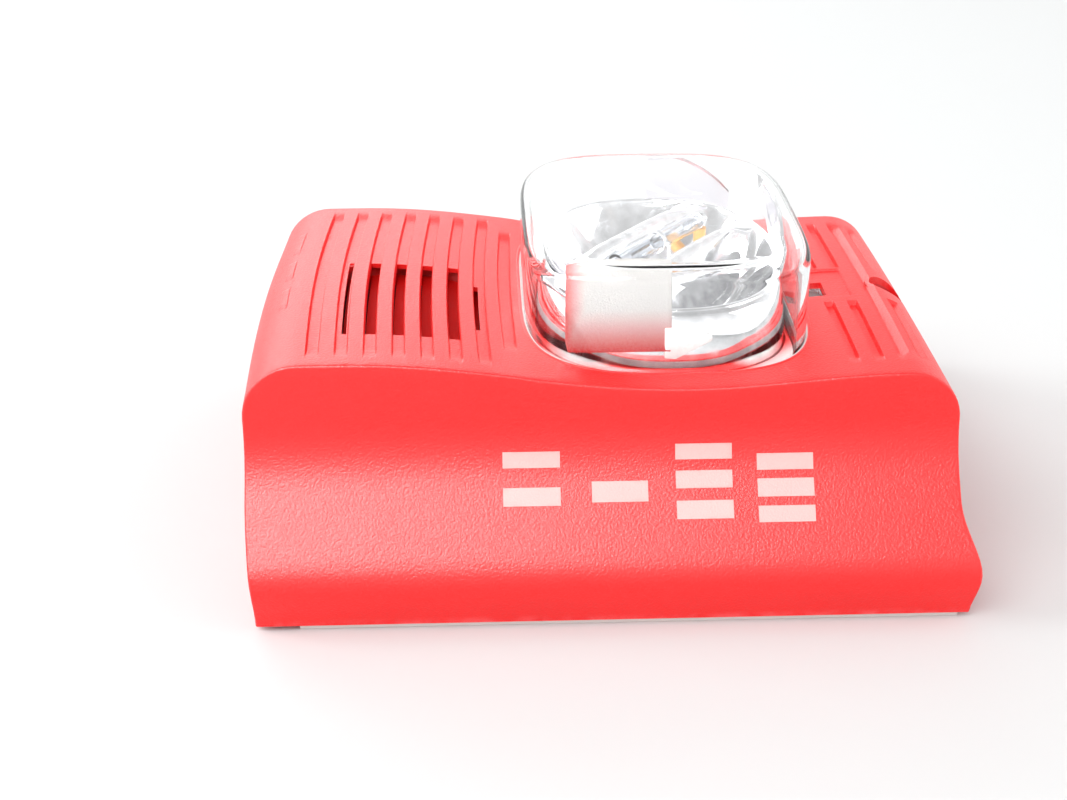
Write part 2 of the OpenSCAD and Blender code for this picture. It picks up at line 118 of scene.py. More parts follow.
# Lighter colour where a surface turns a corner: scuffing, and in part a painted highlight along sharp edges
def makeEdgeRubAndHighlight():
    group, given, out = startGroup("edgeRubAndHighlight", [("Amount", "Float", 0.5), ("Patches", "Float", 300.0)],
                                   [("Mask", "Float")])
    bend = addNode(group, "NewGeometry").outputs["Pointiness"]
    patches = noiseAt(group, objectPlace(group), given["Patches"], 4.0)
    corners = math2(group, "MULTIPLY", remap(group, bend, 0.53, 0.60), remap(group, patches, 0.4, 0.65))
    group.links.new(math2(group, "MULTIPLY", corners, given["Amount"]), out["Mask"])
    return group


# Fine lines of drawn or turned metal, with duller blotches
def makeMetalGrain():
    group, given, out = startGroup("metalGrain",
        [("Colour", "Color", (0.7, 0.7, 0.7, 1)), ("Stretch", "Vector", (1.0, 0.05, 1.0)),
         ("Roughness", "Float", 0.3), ("Scale", "Float", 3000.0)],
        [("Colour", "Color"), ("Roughness", "Float"), ("Height", "Float")])
    place = objectPlace(group)
    turned = addNode(group, "VectorMath", {0: place, 1: given["Stretch"]}, operation="MULTIPLY").outputs[0]
    lines = noiseAt(group, turned, given["Scale"], 3.0)
    blotch = noiseAt(group, place, 260.0, 4.0)
    value = remap(group, blotch, 0.3, 0.7, 0.82, 1.06)
    shaded = addNode(group, "HueSaturation", {"Color": given["Colour"], "Value": value}).outputs[0]
    group.links.new(shaded, out["Colour"])
    rough = math2(group, "ADD", given["Roughness"], timesSwing(group, lines, 0.3))
    group.links.new(math2(group, "ADD", rough, remap(group, blotch, 0.45, 0.7, 0.0, 0.12)), out["Roughness"])
    group.links.new(lines, out["Height"])
    return group


mouldGrain = makeMouldGrain()
edgeRubAndHighlight = makeEdgeRubAndHighlight()
metalGrain = makeMetalGrain()


def useGroup(tree, group, sockets):
    made = tree.nodes.new("ShaderNodeGroup")
    made.node_tree = group
    fillSockets(tree, made, sockets)
    return made.outputs


def newMaterial(name, **shaderValues):
    material = bpy.data.materials.new(name)
    material.use_nodes = True
    tree = material.node_tree
    shader = tree.nodes["Principled BSDF"]
    for key, value in shaderValues.items():
        shader.inputs[key].default_value = value
    return material, tree, shader


def wireShader(tree, shader, colour, rough, height, strength, distance):
    bump = addNode(tree, "Bump", {"Height": height, "Strength": strength, "Distance": distance})
    fillSockets(tree, shader, {"Base Color": colour, "Roughness": rough, "Normal": bump.outputs[0]})


def plasticMaterial(name, colour, rough=0.45, grain=2600.0, shade=0.08, bump=0.25, rubAndHighlight=0.25, rubAndHighlightColour=None,
                    specular=0.5):
    material, tree, shader = newMaterial(name)
    shader.inputs["Specular IOR Level"].default_value = specular
    grainOut = useGroup(tree, mouldGrain, {"Colour": (*colour, 1), "Grain": grain, "Roughness": rough,
                                           "Shade": shade})
    # Corners take a lighter colour: partly scuffing, partly a painted highlight along sharp edges
    rubAndHighlightMask = useGroup(tree, edgeRubAndHighlight, {"Amount": rubAndHighlight})["Mask"]
    light = rubAndHighlightColour or tuple(min(1.0, 0.6 * c + 0.22) for c in colour)
    shown = mixColour(tree, rubAndHighlightMask, grainOut["Colour"], (*light, 1))
    wireShader(tree, shader, shown, grainOut["Roughness"], grainOut["Height"], bump, 0.0002)
    return material


def metalMaterial(name, colour, rough=0.3, stretch=(1.0, 0.05, 1.0), scale=3000.0, bump=0.1):
    material, tree, shader = newMaterial(name, Metallic=1.0)
    grainOut = useGroup(tree, metalGrain, {"Colour": (*colour, 1), "Stretch": stretch, "Roughness": rough,
                                           "Scale": scale})
    wireShader(tree, shader, grainOut["Colour"], grainOut["Roughness"], grainOut["Height"], bump, 0.0001)
    return material


# Clear plastic or glass: lets light through without a dark shadow
def clearMaterial(name, tint, rough=0.02, ior=1.5, bump=0.02, scale=160.0, frost=0.0):
    material, tree, shader = newMaterial(name, IOR=ior)
    shader.inputs["Transmission Weight"].default_value = 1.0
    ripple = noiseAt(tree, objectPlace(tree), scale)
    darker = tuple(0.985 * c for c in tint)
    colour = mixColour(tree, remap(tree, ripple, 0.3, 0.7), (*tint, 1), (*darker, 1))
    dulled = remap(tree, ripple, 0.3, 0.7, rough, rough + 0.02 + frost)
    wireShader(tree, shader, colour, dulled, ripple, bump, 0.0003)
    path = addNode(tree, "LightPath")
    through = addNode(tree, "BsdfTransparent", {"Color": (*tint, 1)})
    mixed = addNode(tree, "MixShader", {0: path.outputs["Is Shadow Ray"], 1: shader.outputs[0],
                                        2: through.outputs[0]})
    tree.links.new(mixed.outputs[0], tree.nodes["Material Output"].inputs["Surface"])
    return material


# Where the red of the housing glows through the frosted block, in metres: up its foot and along its near side
redGlow = {"footLow": 0.0475, "footHigh": 0.0555, "sideOut": -0.0077, "sideIn": -0.0040, "sideAmount": 0.9}


# Frosted plastic: milky, with that glow painted in
def frostedMaterial(name, colour, glow):
    material, tree, shader = newMaterial(name, IOR=1.4)
    shader.inputs["Transmission Weight"].default_value = 0.15
    shader.inputs["Specular IOR Level"].default_value = 0.25
    place = objectPlace(tree)
    parts = addNode(tree, "SeparateXYZ", {0: place}).outputs
    speck = noiseAt(tree, place, 2600.0, 3.0)
    low = remap(tree, parts["Z"], redGlow["footLow"], redGlow["footHigh"], 1.0, 0.0)
    side = remap(tree, parts["X"], redGlow["sideOut"], redGlow["sideIn"], redGlow["sideAmount"], 0.0)
    fade = math2(tree, "MAXIMUM", low, side)
    fade = math2(tree, "MULTIPLY", fade, remap(tree, speck, 0.3, 0.7, 0.86, 1.0), clamp=True)
    shown = mixColour(tree, fade, (*colour, 1), (*glow, 1))
    wireShader(tree, shader, shown, remap(tree, speck, 0.3, 0.7, 0.42, 0.6), speck, 0.35, 0.0002)
    return material


# The seat goes pale where |x - middle| * |y| grows from one value to the other, in square millimetres
paleCorners = {"middle": 0.0132, "from": 470.0, "to": 640.0}


# Seat of the reflector: red, going pale where the four corners catch the light
def ledgeMaterial(name, red, pale):
    material, tree, shader = newMaterial(name)
    parts = addNode(tree, "SeparateXYZ", {0: objectPlace(tree)}).outputs
    across = math2(tree, "ABSOLUTE", math2(tree, "SUBTRACT", parts["X"], paleCorners["middle"]))
    along = math2(tree, "ABSOLUTE", parts["Y"])
    area = math2(tree, "MULTIPLY", math2(tree, "MULTIPLY", across, along), 1e6)
    corner = remap(tree, area, paleCorners["from"], paleCorners["to"])
    colour = mixColour(tree, corner, (*red, 1), (*pale, 1))
    grainOut = useGroup(tree, mouldGrain, {"Colour": colour, "Grain": 1500.0, "Roughness": 0.4, "Shade": 0.2})
    wireShader(tree, shader, grainOut["Colour"], grainOut["Roughness"], grainOut["Height"], 0.4, 0.0002)
    return material


# Values of each finish, for the function that makes its kind
palePlastic = (0.60, 0.575, 0.56)
plastics = {
    # The red shell's pale pink at sharp edges is partly a painted highlight along its crisp edge, partly
    # scuffing
    "redShell": dict(colour=(0.80, 0.0035, 0.0035), rough=0.40, grain=2100.0, shade=0.12, bump=0.6, rubAndHighlight=0.35,
                     rubAndHighlightColour=(0.95, 0.22, 0.22), specular=0.62),
    "palePrint": dict(colour=(0.86, 0.42, 0.40), rough=0.5, grain=2400.0, shade=0.12, rubAndHighlight=0.3,
                      rubAndHighlightColour=(0.80, 0.20, 0.19)),
    "redRib": dict(colour=(0.85, 0.008, 0.007), rough=0.7, grain=1800.0, rubAndHighlight=0.0, specular=0.1),
    "redInner": dict(colour=(0.62, 0.012, 0.014), rough=0.5, grain=1900.0, bump=0.2),
    "paleShell": dict(colour=(0.72, 0.71, 0.68), rough=0.5, grain=2200.0, shade=0.05),
    "blackShell": dict(colour=(0.018, 0.018, 0.02), rough=0.46, shade=0.2, rubAndHighlight=0.5,
                       rubAndHighlightColour=(0.09, 0.09, 0.095)),
    "greyShell": dict(colour=(0.28, 0.29, 0.30), rough=0.42),
    "frostPale": dict(colour=palePlastic, rough=0.35, grain=1500.0, shade=0.25, bump=0.5, rubAndHighlight=0.0),
    "sealPale": dict(colour=(0.50, 0.45, 0.44), rough=0.35, grain=1500.0, shade=0.2, rubAndHighlight=0.0),
    "amberSleeve": dict(colour=(0.62, 0.30, 0.06), rough=0.35, grain=900.0, rubAndHighlight=0.0),
    "blackMesh": dict(colour=(0.015, 0.015, 0.016), rough=0.55, grain=2000.0, bump=0.5),
    "softFoam": dict(colour=(0.05, 0.05, 0.055), rough=0.85, grain=1100.0, bump=0.9, rubAndHighlight=0.0),
    "whiteCeramic": dict(colour=(0.78, 0.76, 0.70), rough=0.35, rubAndHighlight=0.1),
    "redWire": dict(colour=(0.55, 0.02, 0.015), rough=0.38, grain=1200.0, rubAndHighlight=0.1),
    "greenBoard": dict(colour=(0.02, 0.14, 0.06), rough=0.32, grain=1100.0, shade=0.3, rubAndHighlight=0.2),
    "blueSleeve": dict(colour=(0.02, 0.03, 0.09), rough=0.3, grain=700.0, rubAndHighlight=0.2),
    "yellowTape": dict(colour=(0.70, 0.52, 0.10), rough=0.4, grain=800.0, rubAndHighlight=0.1),
    "chipBlack": dict(colour=(0.02, 0.02, 0.022), rough=0.6, grain=3000.0, bump=0.5, rubAndHighlight=0.1),
    "partTan": dict(colour=(0.52, 0.36, 0.19), rough=0.45, grain=1500.0, rubAndHighlight=0.1),
}
metals = {
    "mirrorCoat": dict(colour=(0.93, 0.93, 0.94), rough=0.05, stretch=(1, 1, 1), scale=220.0, bump=0.02),
    "zincSteel": dict(colour=(0.62, 0.63, 0.64), rough=0.28),
    "brassStrip": dict(colour=(0.78, 0.57, 0.26), rough=0.25),
    "copperWire": dict(colour=(0.80, 0.38, 0.20), rough=0.25, stretch=(1, 1, 18), scale=240.0, bump=0.4),
}
clears = {
    "clearDome": dict(tint=(0.99, 0.995, 1.0), rough=0.0, ior=1.25),
    "clearBlock": dict(tint=(0.90, 0.87, 0.915), rough=0.06, ior=1.3, bump=0.06),
    "clearWindow": dict(tint=(0.90, 0.92, 0.92), rough=0.1, ior=1.45, frost=0.1),
    "tubeGlass": dict(tint=(0.95, 0.97, 1.0), rough=0.0, ior=1.47),
}
finish = {name: plasticMaterial(name, **values) for name, values in plastics.items()}
finish |= {name: metalMaterial(name, **values) for name, values in metals.items()}
finish |= {name: clearMaterial(name, **values) for name, values in clears.items()}
finish["frostBlock"] = frostedMaterial("frostBlock", (0.42, 0.41, 0.395), (0.42, 0.004, 0.004))
finish["ledgeSeat"] = ledgeMaterial("ledgeSeat", (0.80, 0.02, 0.02), palePlastic)

# Which nodes of the frame wear which finish
nodeFinish = {
    "paleShell": ["mounting_plate", "back_cover"],
    "blackShell": ["terminal_block", "horn_chamber", "tone_switch_body", "candela_switch_body",
                   "contact_pins"],
    "redInner": ["lens_retainer"],
    "greyShell": ["candela_slider", "tone_switch_rotor", "screw_retainer"],
    "clearWindow": ["candela_window"],
    "zincSteel": ["terminal_screws", "tube_electrodes", "board_screws", "back_cover_screws", "mounting_screw",
                  "trigger_band"],
    "brassStrip": ["terminal_contacts", "shorting_spring", "horn_diaphragm"],
    "mirrorCoat": ["reflector"],
    "tubeGlass": ["flash_tube"],
    "amberSleeve": ["tube_sleeves"],
    "blackMesh": ["grille_screen"],
    "softFoam": ["horn_gasket"],
    "whiteCeramic": ["piezo_disc"],
    "redWire": ["horn_leads"],
    "greenBoard": ["circuit_board"],
    "blueSleeve": ["storage_capacitor"],
    "yellowTape": ["trigger_transformer"],
    "copperWire": ["inductor"],
    "chipBlack": ["power_transistor", "control_chips"],
    "partTan": ["small_components"],
}
for finishName, nodeNames in nodeFinish.items():
    for nodeName in nodeNames:
        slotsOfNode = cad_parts[nodeName].data.materials
        slotsOfNode.clear()
        slotsOfNode.append(finish[finishName])
print("finishes placed")


# Mesh helpers; lengths are millimetres until a piece is finished
def ease(t):
    return (1 - math.cos(math.pi * min(1.0, max(0.0, t)))) / 2


def gridSheet(bm, columns, rows, place, flip=False):
    made = bmesh.ops.create_grid(bm, x_segments=columns, y_segments=rows, size=0.5)
    faces = set()
    for v in made["verts"]:
        faces.update(v.link_faces)
        v.co = Vector(place(round((v.co.x + 0.5) * columns), round((v.co.y + 0.5) * rows)))
    if flip:
        bmesh.ops.reverse_faces(bm, faces=list(faces))
    return made["verts"]


def finishPiece(bm, name, body, material, stands=(), weld=0.002, sharp=35, recalc=False):
    if weld:
        bmesh.ops.remove_doubles(bm, verts=bm.verts, dist=weld)
    if recalc:
        bmesh.ops.recalc_face_normals(bm, faces=bm.faces)
    bmesh.ops.scale(bm, vec=(0.001, 0.001, 0.001), verts=bm.verts)
    mesh = bpy.data.meshes.new(name)
    bm.to_mesh(mesh)
    bm.free()
    piece = bpy.data.objects.new(name, mesh)
    bpy.context.scene.collection.objects.link(piece)
    smoothMesh(mesh, sharp)
    mesh.materials.append(material)
    if body:
        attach(piece, body)
        if stands:
            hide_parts(*stands)
    return piece


def smoothMesh(mesh, sharp):
    mesh.polygons.foreach_set("use_smooth", [True] * len(mesh.polygons))
    mesh.set_sharp_from_angle(angle=math.radians(sharp))


def cutAway(piece, cutter, sharp=35):
    cut = piece.modifiers.new("cut", "BOOLEAN")
    cut.object = cutter
    cut.operation = "DIFFERENCE"
    cut.solver = "MANIFOLD"
    done = bpy.data.meshes.new_from_object(piece.evaluated_get(bpy.context.evaluated_depsgraph_get()))
    piece.modifiers.clear()
    old = piece.data
    piece.data = done
    done.name = old.name
    bpy.data.meshes.remove(old)
    bpy.data.objects.remove(cutter)
    smoothMesh(done, sharp)


# Caps the open ends of a strip that was bent round into a tube
def closeEnds(bm, verts):
    edges = {e for v in verts for e in v.link_edges}
    bmesh.ops.holes_fill(bm, edges=[e for e in edges if e.is_boundary], sides=0)


def vertsOf(geometry):
    return [v for v in geometry if isinstance(v, bmesh.types.BMVert)]


# Front housing: the outline along the middle, the flanks, and the steps of its mesh
housing = {
    "upperEnd": -71.0, "lowerEnd": 71.0, "halfWidth": 59.5, "faceHalf": 44.5,
    "crestX": -52.0, "crest": 49.7, "dipX": 15.0, "dip": 43.6, "lowCrestX": 58.0, "lowCrest": 46.1,
    "rim": 1.2, "upperCorner": 11.0, "lowerCorner": 10.0,
    "tuck": 1.4, "tuckTop": 25.0, "tuckRun": 24.0, "flare": 3.3, "flareZ": 9.5, "flareTop": 22.0,
    "flankTop": 37.0, "slopeTop": 25.0, "slopeFoot": 14.0,
    "wall": 2.0, "edge": 0.5, "innerEdge": 0.2, "crown": 1.2, "bow": 1.2, "bowPower": 1.4, "bowFrom": -13.0,
    "bowRun": 7.0,
    "rowStep": 1.15, "columnStep": 1.9, "wallRows": 24, "cornerSteps": 12, "edgeSteps": 4,
}
# Grooves across the face: the upper row, one short of the lens, the lower row with its gaps, and the pocket
grooves = {
    "first": -58.64, "pitch": 5.48, "count": 7, "width": 2.4, "depth": 1.0, "reach": 40.6, "scoop": 4.6,
    "recessX": -20.5, "recessWidth": 2.6, "recessReach": 33.0,
    "lowFirst": 47.0, "lowPitch": 4.75, "lowWidths": (1.9, 1.9, 1.9, 1.5), "lowReach": 38.5,
    "lowGaps": ((-10.5, 8.5), (-10.5, 8.5), None, (-9.0, 9.0)),
    "pocketStart": 38.0, "pocketEnd": 53.3, "pocketLow": -7.6, "pocketHigh": 7.2, "pocketDepth": 0.45,
}


def frontZ(x):
    h = housing
    if x < h["dipX"]:
        return h["dip"] + (h["crest"] - h["dip"]) * ease((h["dipX"] - x) / (h["dipX"] - h["crestX"]))
    return h["dip"] + (h["lowCrest"] - h["dip"]) * ease((x - h["dipX"]) / (h["lowCrestX"] - h["dipX"]))


def upperEndAt(z):
    h = housing
    return h["upperEnd"] + h["tuck"] * ease((h["tuckTop"] - z) / h["tuckRun"])


def lowerEndAt(z):
    h = housing
    if z < h["flareZ"]:
        return h["lowerEnd"] - h["tuck"] * ease((h["flareZ"] - z) / h["flareZ"])
    return h["lowerEnd"] - h["flare"] * ease((z - h["flareZ"]) / (h["flareTop"] - h["flareZ"]))


# Half width of the body: upright near the face, a hollow, an even slope, then a tight turn above the rim
def halfWidthAt(z):
    h = housing
    if z < h["flareZ"]:
        return h["halfWidth"] - h["tuck"] * ease((h["flareZ"] - z) / h["flareZ"])
    run = h["flankTop"] + h["slopeTop"] - h["slopeFoot"] - h["flareZ"]
    slope = 2 * (h["halfWidth"] - h["faceHalf"]) / run
    if z < h["slopeFoot"]:
        return h["halfWidth"] - slope * (z - h["flareZ"]) ** 2 / (2 * (h["slopeFoot"] - h["flareZ"]))
    hollow = max(0.0, h["flankTop"] - max(z, h["slopeTop"]))
    upper = slope * hollow ** 2 / (2 * (h["flankTop"] - h["slopeTop"]))
    return h["faceHalf"] + upper + slope * max(0.0, h["slopeTop"] - z)


# Sideways bow of the upper end and its ribs, zero down the middle line of the lens
def bowAt(x, y):
    h = housing
    share = min(1.0, abs(y) / h["faceHalf"])
    return h["bow"] * (1 - (1 - share * share) ** h["bowPower"]) * ease((h["bowFrom"] - x) / h["bowRun"])


# Where the mesh needs columns to follow a groove's two sides
def channelEdges(left, width):
    steps = (-0.25, -0.12, -0.04, 0.06, 0.16, 0.32)
    return [left + e for e in steps] + [left + width / 2] + [left + width - e for e in reversed(steps)]


def acrossChannel(x, left, width):
    return ease((x - left + 0.12) / 0.28) * ease((left + width + 0.12 - x) / 0.28)


# Every groove as (left edge, width, reach to each side, gap in the middle)
def channels():
    g = grooves
    found = [(g["first"] + i * g["pitch"], g["width"], g["reach"], None) for i in range(g["count"])]
    found.append((g["recessX"], g["recessWidth"], g["recessReach"], None))
    for i, (width, gap) in enumerate(zip(g["lowWidths"], g["lowGaps"])):
        found.append((g["lowFirst"] + i * g["lowPitch"], width, g["lowReach"], gap))
    return found


channelList = channels()


# How far the front face is sunk at a point
def sunkAt(x, y):
    g = grooves
    sunk = 0.0
    for left, width, reach, gap in channelList:
        if left - 1 < x < left + width + 1:
            deep = g["depth"] * acrossChannel(x, left, width) * ease((reach - abs(y)) / g["scoop"])
            if gap:
                deep *= 1 - ease((y - gap[0] + 0.2) / 0.4) * ease((gap[1] + 0.2 - y) / 0.4)
            sunk = max(sunk, deep)
    if g["pocketStart"] < x < g["pocketEnd"] + 1:
        pocket = ease((g["pocketEnd"] - x + 0.15) / 0.3)
        pocket *= ease((y - g["pocketLow"] + 0.15) / 0.3) * ease((g["pocketHigh"] + 0.15 - y) / 0.3)
        sunk = max(sunk, g["pocketDepth"] * pocket)
    return sunk


def thinOut(values, least):
    kept = []
    for value in sorted(values):
        if not kept or value - kept[-1] > least:
            kept.append(value)
    return kept


# Columns along the outline, as (x, z, inward normal): upper wall, front between its corner arcs, lower wall
def outlineColumns():
    h = housing
    rows = h["wallRows"]
    upperTop, lowerTop = h["crest"] - h["upperCorner"], h["lowCrest"] - h["lowerCorner"]
    upper = [h["rim"] + (upperTop - h["rim"]) * j / rows for j in range(rows + 1)]
    lower = [h["rim"] + (lowerTop - h["rim"]) * j / rows for j in range(rows + 1)]
    points = [(upperEndAt(z), z) for z in upper]
    quarter = [math.pi / 2 * i / h["cornerSteps"] for i in range(1, h["cornerSteps"])]
    cx, r = h["upperEnd"] + h["upperCorner"], h["upperCorner"]
    points += [(cx - r * math.cos(a), upperTop + r * math.sin(a)) for a in quarter]
    cxLow, rLow = h["lowerEnd"] - h["flare"] - h["lowerCorner"], h["lowerCorner"]
    xs = [e for left, width, reach, gap in channelList for e in channelEdges(left, width)]
    xs += [grooves["pocketEnd"] + e for e in (-0.16, -0.05, 0.05, 0.16)]
    steps = int((cxLow - cx) / h["columnStep"])
    plain = [cx + (cxLow - cx) * i / steps for i in range(steps + 1)]
    plain = [x for x in plain if min(abs(x - e) for e in xs) > 0.5 or x in (cx, cxLow)]
    xs = thinOut([x for x in xs + plain if cx < x < cxLow], 0.03)
    points += [(x, frontZ(x)) for x in [cx] + xs + [cxLow]]
    points += [(cxLow + rLow * math.sin(a), lowerTop + rLow * math.cos(a)) for a in quarter]
    points += [(lowerEndAt(z), z) for z in reversed(lower)]
    columns = []
    for k, (x, z) in enumerate(points):
        ax, az = points[max(0, k - 1)]
        bx, bz = points[min(len(points) - 1, k + 1)]
        length = math.hypot(bx - ax, bz - az)
        columns.append((x, z, (bz - az) / length, -(bx - ax) / length))
    return columns


columnsAlong = outlineColumns()
wallRows = housing["wallRows"]


# Rows across the face as (share of the half width, edge angle)
def rowsAcross():
    half = housing["faceHalf"] - housing["edge"]
    count = int(half / housing["rowStep"])
    shares = [i / count for i in range(-count, count + 1)]
    marks = [grooves["pocketLow"], grooves["pocketHigh"]]
    marks += [side for gap in grooves["lowGaps"] if gap for side in gap]
    shares += [(y + e) / half for y in marks for e in (-0.2, -0.07, 0.07, 0.2)]
    shares = thinOut(shares, 0.0012)
    shares[0], shares[-1] = -1.0, 1.0
    arc = [math.pi / 2 * i / housing["edgeSteps"] for i in range(1, housing["edgeSteps"] + 1)]
    return [(-1, a) for a in reversed(arc)] + [(s, 0.0) for s in shares] + [(1, a) for a in arc]


rowList = rowsAcross()


# Point of the end-to-end skin, at a column of the outline and a row across it
def skinPoint(k, row, inset, edge):
    x, z, nx, nz = columnsAlong[k]
    share, angle = rowList[row]
    sink = inset
    if angle:
        sink += edge * (1 - math.cos(angle))
    flat = max(0.0, -nz)
    px, pz = x + nx * sink, z + nz * sink
    if k in (0, len(columnsAlong) - 1):
        pz = housing["rim"]
    half = halfWidthAt(pz) - inset
    y = share * (half - edge * (1 - math.sin(angle))) if angle else share * (half - edge)
    pz += housing["crown"] * (1 - min(1.0, (y / half) ** 2)) * flat
    if not inset and flat > 0.9:
        pz -= sunkAt(px, y)
    return px + bowAt(px, y * housing["faceHalf"] / half), y, pz


# Point of a flank, blended between the four edges that it shares with that skin
def flankPoint(i, j, side, inset, edge):
    row = 0 if side < 0 else len(rowList) - 1
    last = len(columnsAlong) - 1

    def edgeAt(k):
        x, y, z = skinPoint(k, row, inset, edge)
        return Vector((x, z))
    frontFirst, frontLast = wallRows, last - wallRows
    top = edgeAt(frontFirst + i)
    topLeft, topRight = edgeAt(frontFirst), edgeAt(frontLast)
    left, right = edgeAt(j), edgeAt(last - j)
    lowLeft, lowRight = edgeAt(0), edgeAt(last)
    u = (top.x - topLeft.x) / (topRight.x - topLeft.x)
    v = j / wallRows
    low = lowLeft.lerp(lowRight, u)
    p = low.lerp(top, v) + left.lerp(right, u) - low.lerp(topLeft.lerp(topRight, u), v)
    return p.x, side * (halfWidthAt(p.y) - inset), p.y


def addSkin(bm, inset, edge, flip):
    gridSheet(bm, len(columnsAlong) - 1, len(rowList) - 1, lambda i, j: skinPoint(i, j, inset, edge), flip)
    across = len(columnsAlong) - 1 - 2 * wallRows
    for side in (-1, 1):
        gridSheet(bm, across, wallRows, lambda i, j: flankPoint(i, j, side, inset, edge), flip != (side > 0))


# Point on a rounded rectangle: power 2 is an oval, and more is squarer
def squareRound(angle, halfX, halfY, power):
    c, s = math.cos(angle), math.sin(angle)
    reach = (abs(c) ** power + abs(s) ** power) ** (-1.0 / power)
    return halfX * c * reach, halfY * s * reach


def addCutter(bm, verts, height):
    faces = list({f for v in verts for f in v.link_faces})
    made = bmesh.ops.extrude_face_region(bm, geom=faces)
    bmesh.ops.translate(bm, vec=(0, 0, height), verts=vertsOf(made["geom"]))


# Dome of the lens, as a rounded rectangle; gap is the room round it in the housing
lensForm = {
    "x": 13.2, "halfX": 28.6, "halfY": 37.5, "power": 4.4, "gap": 0.36, "wall": 1.7, "lip": 1.2,
    "flangeZ": 40.06, "flangeTop": 41.3, "shoulderZ": 61.6, "shoulder": 4.2, "crown": 0.8, "top": 66.0,
    "shoulderEase": 1.0, "topEase": 1.6, "footRings": ((0.12, 0.45), (0.03, 1.1), (0.0, 6.7)),
    "segments": 176,
}
# Sound slots, as (groove, left edge in it, width, low y, high y)
slots = [
    (1, 1.05, 0.95, -29.0, 8.0),
    *((groove, 0.15, 2.1, -29.0, 8.0) for groove in (2, 3, 4, 5)),
    (6, 0.1, 0.9, -23.6, -1.5),
]
openings = {"cutFrom": 38.0, "cutHeight": 16.0, "screwX": 62.5, "screwRadius": 3.9, "screwFrom": 36.0,
            "windowGap": 0.1, "windowHeight": 12.0}


def makeHousing():
    o = openings
    bm = bmesh.new()
    addSkin(bm, 0.0, housing["edge"], False)
    addSkin(bm, housing["wall"], housing["innerEdge"], True)
    bmesh.ops.remove_doubles(bm, verts=bm.verts, dist=0.004)
    rim = [e for e in bm.edges if e.is_boundary]
    bmesh.ops.bridge_loops(bm, edges=rim)
    piece = finishPiece(bm, "housingShell", "head", finish["redShell"], ["front_housing"])

    cutter = bmesh.new()
    for index, shift, width, low, high in slots:
        left = grooves["first"] + index * grooves["pitch"] + shift

        def slotPoint(i, j):
            y = low + (high - low) * j / 16
            return left + width * i + bowAt(left, y), y, o["cutFrom"]
        addCutter(cutter, gridSheet(cutter, 1, 16, slotPoint), o["cutHeight"])
    ring = bmesh.ops.create_circle(cutter, cap_ends=True, segments=160, radius=1)["verts"]
    grow = lensForm["gap"]
    for v in ring:
        x, y = squareRound(math.atan2(v.co.y, v.co.x), lensForm["halfX"] + grow, lensForm["halfY"] + grow,
                           lensForm["power"])
        v.co = (lensForm["x"] + x, y, o["cutFrom"])
    addCutter(cutter, ring, o["cutHeight"])
    screwHole = bmesh.ops.create_circle(cutter, cap_ends=True, segments=48, radius=o["screwRadius"])["verts"]
    bmesh.ops.translate(cutter, vec=(o["screwX"], 0, o["screwFrom"]), verts=screwHole)
    addCutter(cutter, screwHole, o["cutHeight"])
    low, high = (1000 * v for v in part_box("candela_window"))
    window = bmesh.ops.create_grid(cutter, x_segments=1, y_segments=1, size=0.5)["verts"]
    for v in window:
        v.co = (low.x - o["windowGap"] if v.co.x < 0 else high.x + o["windowGap"],
                low.y - o["windowGap"] if v.co.y < 0 else high.y + o["windowGap"], o["cutFrom"])
    addCutter(cutter, window, o["windowHeight"])
    cutAway(piece, finishPiece(cutter, "cutter", None, finish["redShell"], recalc=True))


makeHousing()
print("housing shell made")


# Height of the front face, out to the end corners
def faceHeight(x, y):
    h = housing
    r, rLow = h["upperCorner"], h["lowerCorner"]
    cx, cxLow = h["upperEnd"] + r, h["lowerEnd"] - h["flare"] - rLow
    if x < cx:
        return h["crest"] - r + math.sqrt(max(0.0, r ** 2 - (cx - x) ** 2))
    if x > cxLow:
        return h["lowCrest"] - rLow + math.sqrt(max(0.0, rLow ** 2 - (x - cxLow) ** 2))
    return frontZ(x) + h["crown"] * (1 - min(1.0, (y / h["faceHalf"]) ** 2))


# Round wall standing inside the cover: rings of (radius, height) round a centre, kept under the outer skin
def roundWall(name, centre, profile, cover, segments=64):
    bm = bmesh.new()

    def place(i, j):
        radius, z = profile[j % len(profile)]
        turn = 2 * math.pi * i / segments
        x, y = centre[0] + radius * math.cos(turn), centre[1] + radius * math.sin(turn)
        z = min(z, faceHeight(x, y) - cover)
        limit = halfWidthAt(z) - cover
        return x, max(-limit, min(limit, y)), z
    gridSheet(bm, segments, len(profile), place)
    return finishPiece(bm, name, "head", finish["redInner"], recalc=True)


# Walls under the face; a ring at past is above the face, so it stops at the cover's own distance under it
inside = {
    "past": 60.0,
    "collarAt": (-39.0, -10.5), "collarIn": 21.5, "collarOut": 23.5, "collarZ": 43.5, "collarCover": 1.3,
    "tunnelAt": (62.5, 0.0), "tunnelIn": 3.88, "tunnelOut": 4.9, "neck": 2.1, "seat": 34.0, "tunnelZ": 14.2,
    "tunnelRing": 30.0, "tunnelCover": 0.45,
    "posts": [(-50, -44), (-50, 44), (50, -44), (50, 44)], "postOut": 3.2, "postIn": 1.35, "postZ": 8.0,
    "postRings": (20.0, 28.0, 32.0, 36.0), "boreTop": 19.0, "postCover": 0.9, "lead": 0.4, "softEdge": 0.3,
    "hookAt": (-66.2, 3.2), "hookOut": 2.6, "hookIn": 1.5, "hookWidth": 7.0, "hookY": 30.0, "hookFrom": -55.0,
    "hookTurn": -250.0, "armX": -69.0, "armLap": 1.9, "armLow": 1.3, "armHigh": 5.4,
}


